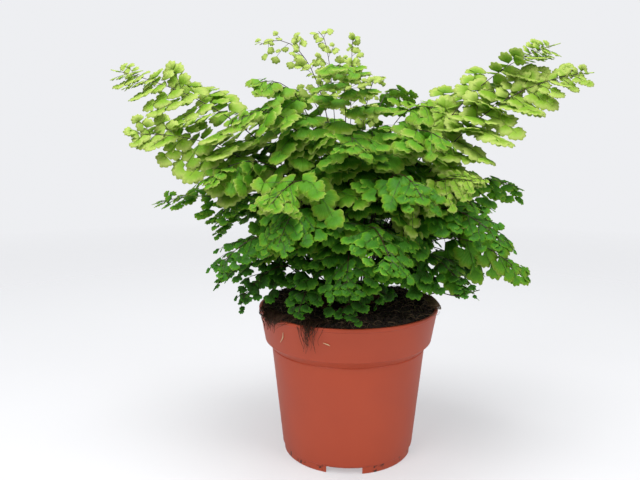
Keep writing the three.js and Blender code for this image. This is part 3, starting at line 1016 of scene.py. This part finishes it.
def fern_leaflet():
    """Living leaf: satin, thin enough for light to pass, veined like a fan and paler at the margin."""
    material, tree = new_material("fern leaflet")
    # the leaflet's colour value: its frond's green, with painted light and shade in it
    shade = add_node(tree, "ShaderNodeAttribute", attribute_name="age")
    margin = add_node(tree, "ShaderNodeAttribute", attribute_name="margin")
    across = add_node(tree, "ShaderNodeAttribute", attribute_name="across")
    under = add_node(tree, "ShaderNodeAttribute", attribute_name="under")
    place = add_node(tree, "ShaderNodeTexCoord").outputs["Object"]
    # patches about 9 mm wide are a little paler or darker
    patches = add_node(tree, "ShaderNodeTexNoise", {"Vector": place, "Scale": 110.0, "Detail": 2.0})
    drift = add_node(
        tree,
        "ShaderNodeMapRange",
        {"Value": patches.outputs["Fac"], "To Min": -0.14, "To Max": 0.14},
    )
    aged_and_lit = add_node(
        tree, "ShaderNodeMath", {0: shade.outputs["Fac"], 1: drift.outputs["Result"]}, operation="ADD"
    )
    # the thin margin is paler than the rest
    edge = add_node(tree, "ShaderNodeMath", {0: margin.outputs["Fac"], 1: 3.0}, operation="POWER")
    paler = add_node(
        tree,
        "ShaderNodeMath",
        {0: edge.outputs[0], 1: 0.46, 2: aged_and_lit.outputs[0]},
        operation="MULTIPLY_ADD",
    )
    ramp = add_node(tree, "ShaderNodeValToRGB", {"Fac": paler.outputs[0]})
    stops = [(0.0, "#1c500e"), (0.3, "#418d18"), (0.55, "#70b824"), (0.8, "#a4cf3c"), (1.0, "#d3e67a")]
    for position, colour in stops[1:-1]:
        ramp.color_ramp.elements.new(position)
    for element, (position, colour) in zip(ramp.color_ramp.elements, stops):
        element.position = position
        element.color = linear(colour)
    # fanned veins: real ones are about 0.7 mm apart, too fine to show, so they are drawn about 2 mm apart
    fan = add_node(tree, "ShaderNodeMath", {0: across.outputs["Fac"], 1: 38.0}, operation="MULTIPLY")
    wave = add_node(tree, "ShaderNodeMath", {0: fan.outputs[0]}, operation="SINE")
    vein = add_node(
        tree,
        "ShaderNodeMapRange",
        {"Value": wave.outputs[0], "From Min": 0.3, "From Max": 1.0, "To Min": 0.0, "To Max": 1.0},
    )
    weak = add_node(tree, "ShaderNodeMath", {0: vein.outputs["Result"], 1: 0.1}, operation="MULTIPLY")
    veined = add_node(
        tree,
        "ShaderNodeMix",
        {"Factor": weak.outputs[0], "A": ramp.outputs["Color"], "B": linear("#d5ea8e")},
        data_type="RGBA",
    )
    pale = add_node(tree, "ShaderNodeMath", {0: under.outputs["Fac"], 1: 0.35}, operation="MULTIPLY")
    sided = add_node(
        tree,
        "ShaderNodeMix",
        {"Factor": pale.outputs[0], "A": veined.outputs["Result"], "B": linear("#8fb46a")},
        data_type="RGBA",
    )
    bump = add_node(
        tree,
        "ShaderNodeBump",
        {"Height": vein.outputs["Result"], "Strength": 0.12, "Distance": 0.0002},
    )
    surface = add_node(
        tree,
        "ShaderNodeBsdfPrincipled",
        {
            "Base Color": sided.outputs["Result"],
            "Normal": bump.outputs["Normal"],
            "Roughness": 0.58,
            "IOR": 1.36,
        },
    )
    # the light that comes through a leaf is yellower than what it reflects
    through = add_node(
        tree,
        "ShaderNodeMix",
        {"Factor": 1.0, "A": sided.outputs["Result"], "B": linear("#ffffb4")},
        data_type="RGBA",
        blend_type="MULTIPLY",
    )
    glow = add_node(tree, "ShaderNodeBsdfTranslucent", {"Color": through.outputs["Result"]})
    both = add_node(
        tree,
        "ShaderNodeMixShader",
        {0: 0.42, 1: surface.outputs["BSDF"], 2: glow.outputs["BSDF"]},
    )
    add_node(tree, "ShaderNodeOutputMaterial", {"Surface": both.outputs["Shader"]})
    return material


def wiry_stalk():
    """The stalk's polished black-brown skin: dark and glossy, with patches of a redder brown."""
    material, tree = new_material("wiry fern stalk")
    place = add_node(tree, "ShaderNodeTexCoord").outputs["Object"]
    # patches about 6 mm long
    patches = add_node(tree, "ShaderNodeTexNoise", {"Vector": place, "Scale": 160.0, "Detail": 3.0})
    colour = add_node(
        tree,
        "ShaderNodeMix",
        {"Factor": patches.outputs["Fac"], "A": linear("#1a0f0c"), "B": linear("#4b2a1c")},
        data_type="RGBA",
    )
    surface = add_node(
        tree,
        "ShaderNodeBsdfPrincipled",
        {"Base Color": colour.outputs["Result"], "Roughness": 0.28, "IOR": 1.5},
    )
    add_node(tree, "ShaderNodeOutputMaterial", {"Surface": surface.outputs["BSDF"]})
    return material


POINT_VALUES = [("is_leaflet", "BOOLEAN"), ("shape", "INT"), ("turn", "QUATERNION"), ("size", "FLOAT")]


def frond_tree():
    """Dresses a skeleton: tubes along its edges and a leaflet on each loose point."""
    tree, given = new_tree(
        "frond",
        [("Sides", "Int"), ("Leaflets", "Collection"), ("Stalk", "Material"), ("Leaf", "Material")],
    )
    point = {}
    for name, kind in POINT_VALUES:
        node = add_node(tree, "GeometryNodeInputNamedAttribute", {"Name": name}, data_type=kind)
        point[name] = node.outputs[0]
    parts = add_node(
        tree,
        "GeometryNodeSeparateGeometry",
        {"Geometry": given["Geometry"], "Selection": point["is_leaflet"]},
    )
    stalks = tubes_from(tree, parts.outputs["Inverted"], given["Sides"], given["Stalk"])
    shapes = add_node(
        tree,
        "GeometryNodeCollectionInfo",
        {"Collection": given["Leaflets"], "Separate Children": True, "Reset Children": True},
    )
    leaflets = add_node(
        tree,
        "GeometryNodeInstanceOnPoints",
        {
            "Points": parts.outputs["Selection"],
            "Instance": shapes.outputs[0],
            "Pick Instance": True,
            "Instance Index": point["shape"],
            "Rotation": point["turn"],
            "Scale": point["size"],
        },
    )
    real = add_node(tree, "GeometryNodeRealizeInstances", {0: leaflets.outputs[0]})
    painted = add_node(
        tree, "GeometryNodeSetMaterial", {"Geometry": real.outputs[0], "Material": given["Leaf"]}
    )
    both = add_node(tree, "GeometryNodeJoinGeometry", {0: [stalks.outputs[0], painted.outputs[0]]})
    add_node(tree, "NodeGroupOutput", {0: both.outputs[0]})
    return tree


def leaflet_age_and_light(age, place, random):
    """A leaflet's colour value: its frond's, made paler where it is higher, further out or further left,
    which is painted light.
    """
    height = (place.z - 130 * MM) / (120 * MM)
    outward = math.hypot(place.x, place.y) / (100 * MM)
    leftward = -place.x / (100 * MM)
    # painted light: paler where the lamps above and on the left fall and less shade lies within the fronds
    paler = 0.16 * (height - 0.6) + 0.12 * (outward - 0.8) + 0.07 * leftward
    return age + paler + random.uniform(-0.07, 0.07)


dress_frond = frond_tree()
leaf_material = fern_leaflet()
stalk_material = wiry_stalk()
for number, frond in enumerate(frond_list(), 1):
    strands_of, leaflets_of, random = grow_frond(frond, number)
    points = [[(place, 0.0)] for place, _, _ in leaflets_of]
    piece = skeleton(f"fern_frond_{number:02d}", [*strands_of, *points])
    data = piece.data
    bones = sum(len(strand) for strand in strands_of)
    age = frond["age"] - 0.05 + random.uniform(-0.1, 0.1)
    total = len(data.vertices)
    turns, sizes, ages_and_light = np.zeros((total, 4)), np.ones(total), np.zeros(total)
    turns[:, 0] = 1
    for i, (place, turn, size) in enumerate(leaflets_of, bones):
        turns[i] = turn
        sizes[i] = size
        ages_and_light[i] = leaflet_age_and_light(age, place, random)
    shapes = random.integers(0, len(SHAPES), total)
    is_leaflet = np.arange(total) >= bones
    for name, kind, values in (
        ("turn", "QUATERNION", turns.ravel()),
        ("size", "FLOAT", sizes),
        ("age", "FLOAT", ages_and_light),
        ("shape", "INT", shapes),
        ("is_leaflet", "BOOLEAN", is_leaflet),
    ):
        data.attributes.new(name, kind, "POINT").data.foreach_set("value", values)
    run_tree(
        piece,
        dress_frond,
        Sides=STRAND_SIDES,
        Leaflets=leaflet_shapes,
        Stalk=stalk_material,
        Leaf=leaf_material,
    )
    piece.data.shade_smooth()
    slot = "young_frond" if frond["age"] > YOUNG else "mature_frond"
    in_place(piece, slot, f"frond_{number:02d}")
for shape in list(leaflet_shapes.objects):
    bpy.data.objects.remove(shape)

# ---------------------------------------------------------------- floor, light and camera
# A pale seamless floor, a white surround and three soft boxes: one on each side in front, and a
# broad one above. The camera stands close in front, at about the height of the middle of the fronds.

FLOOR_RADIUS = 1.6
FADE_FROM = 0.1
FLOOR_SHEER = 0.5
SURROUND_LIGHT = 0.36
SURROUND_SEEN = 0.91


def pale_floor():
    """Matt white board that fades into the surround away from the pot."""
    material, tree = new_material("matt white board")
    place = add_node(tree, "ShaderNodeTexCoord").outputs["Object"]
    away = add_node(tree, "ShaderNodeVectorMath", {0: place}, operation="LENGTH")
    fade = add_node(
        tree,
        "ShaderNodeMapRange",
        {
            "Value": away.outputs["Value"],
            "From Min": FADE_FROM,
            "From Max": FLOOR_RADIUS * 0.8,
            "To Min": FLOOR_SHEER,
        },
    )
    board = add_node(
        tree, "ShaderNodeBsdfPrincipled", {"Base Color": linear("#f9f9fb"), "Roughness": 0.8}
    )
    clear = add_node(tree, "ShaderNodeBsdfTransparent")
    both = add_node(
        tree,
        "ShaderNodeMixShader",
        {0: fade.outputs["Result"], 1: board.outputs["BSDF"], 2: clear.outputs["BSDF"]},
    )
    add_node(tree, "ShaderNodeOutputMaterial", {"Surface": both.outputs["Shader"]})
    return material


disc = bmesh.new()
bmesh.ops.create_circle(disc, cap_ends=True, segments=96, radius=FLOOR_RADIUS)
floor = as_object("floor", disc)
floor.data.materials.append(pale_floor())

world = bpy.data.worlds.new("white surround")
world.use_nodes = True
world.node_tree.nodes.clear()
direct = add_node(world.node_tree, "ShaderNodeLightPath").outputs["Is Camera Ray"]
strength = add_node(
    world.node_tree,
    "ShaderNodeMapRange",
    {"Value": direct, "To Min": SURROUND_LIGHT, "To Max": SURROUND_SEEN},
)
surround = add_node(
    world.node_tree,
    "ShaderNodeBackground",
    {"Color": linear("#f8f9fc"), "Strength": strength.outputs["Result"]},
)
add_node(world.node_tree, "ShaderNodeOutputWorld", {"Surface": surround.outputs[0]})
bpy.context.scene.world = world
bpy.context.scene.view_settings.view_transform = "Standard"


def soft_box(name, place, target, size, power):
    """A square area light at a place, pointed at a target."""
    lamp = bpy.data.lights.new(name, "AREA")
    lamp.shape = "SQUARE"
    lamp.size = size
    lamp.energy = power
    made = bpy.data.objects.new(name, lamp)
    made.location = place
    made.rotation_euler = (Vector(target) - Vector(place)).to_track_quat("-Z", "Y").to_euler()
    bpy.context.scene.collection.objects.link(made)


PLANT_MIDDLE = (0, 0, 0.15)
soft_box("soft_box_left", (-0.6, -0.8, 1.0), PLANT_MIDDLE, 0.6, 6)
soft_box("soft_box_right", (0.8, -0.7, 0.9), PLANT_MIDDLE, 0.6, 4)
soft_box("soft_box_above", (-0.1, -0.2, 1.3), PLANT_MIDDLE, 0.7, 12)

CAMERA_BACK = 0.409
CAMERA_HEIGHT = 0.207
CAMERA_ASIDE = -0.019
CAMERA_DOWN = 8.8
SENSOR = 36.0
LENS = 34.875

camera = bpy.data.objects.new("camera", bpy.data.cameras.new("camera"))
camera.data.sensor_width = SENSOR
camera.data.lens = LENS
camera.data.clip_start = 0.01
camera.location = (CAMERA_ASIDE, -CAMERA_BACK, CAMERA_HEIGHT)
camera.rotation_euler = (math.radians(90 - CAMERA_DOWN), 0, 0)
bpy.context.scene.collection.objects.link(camera)
bpy.context.scene.camera = camera
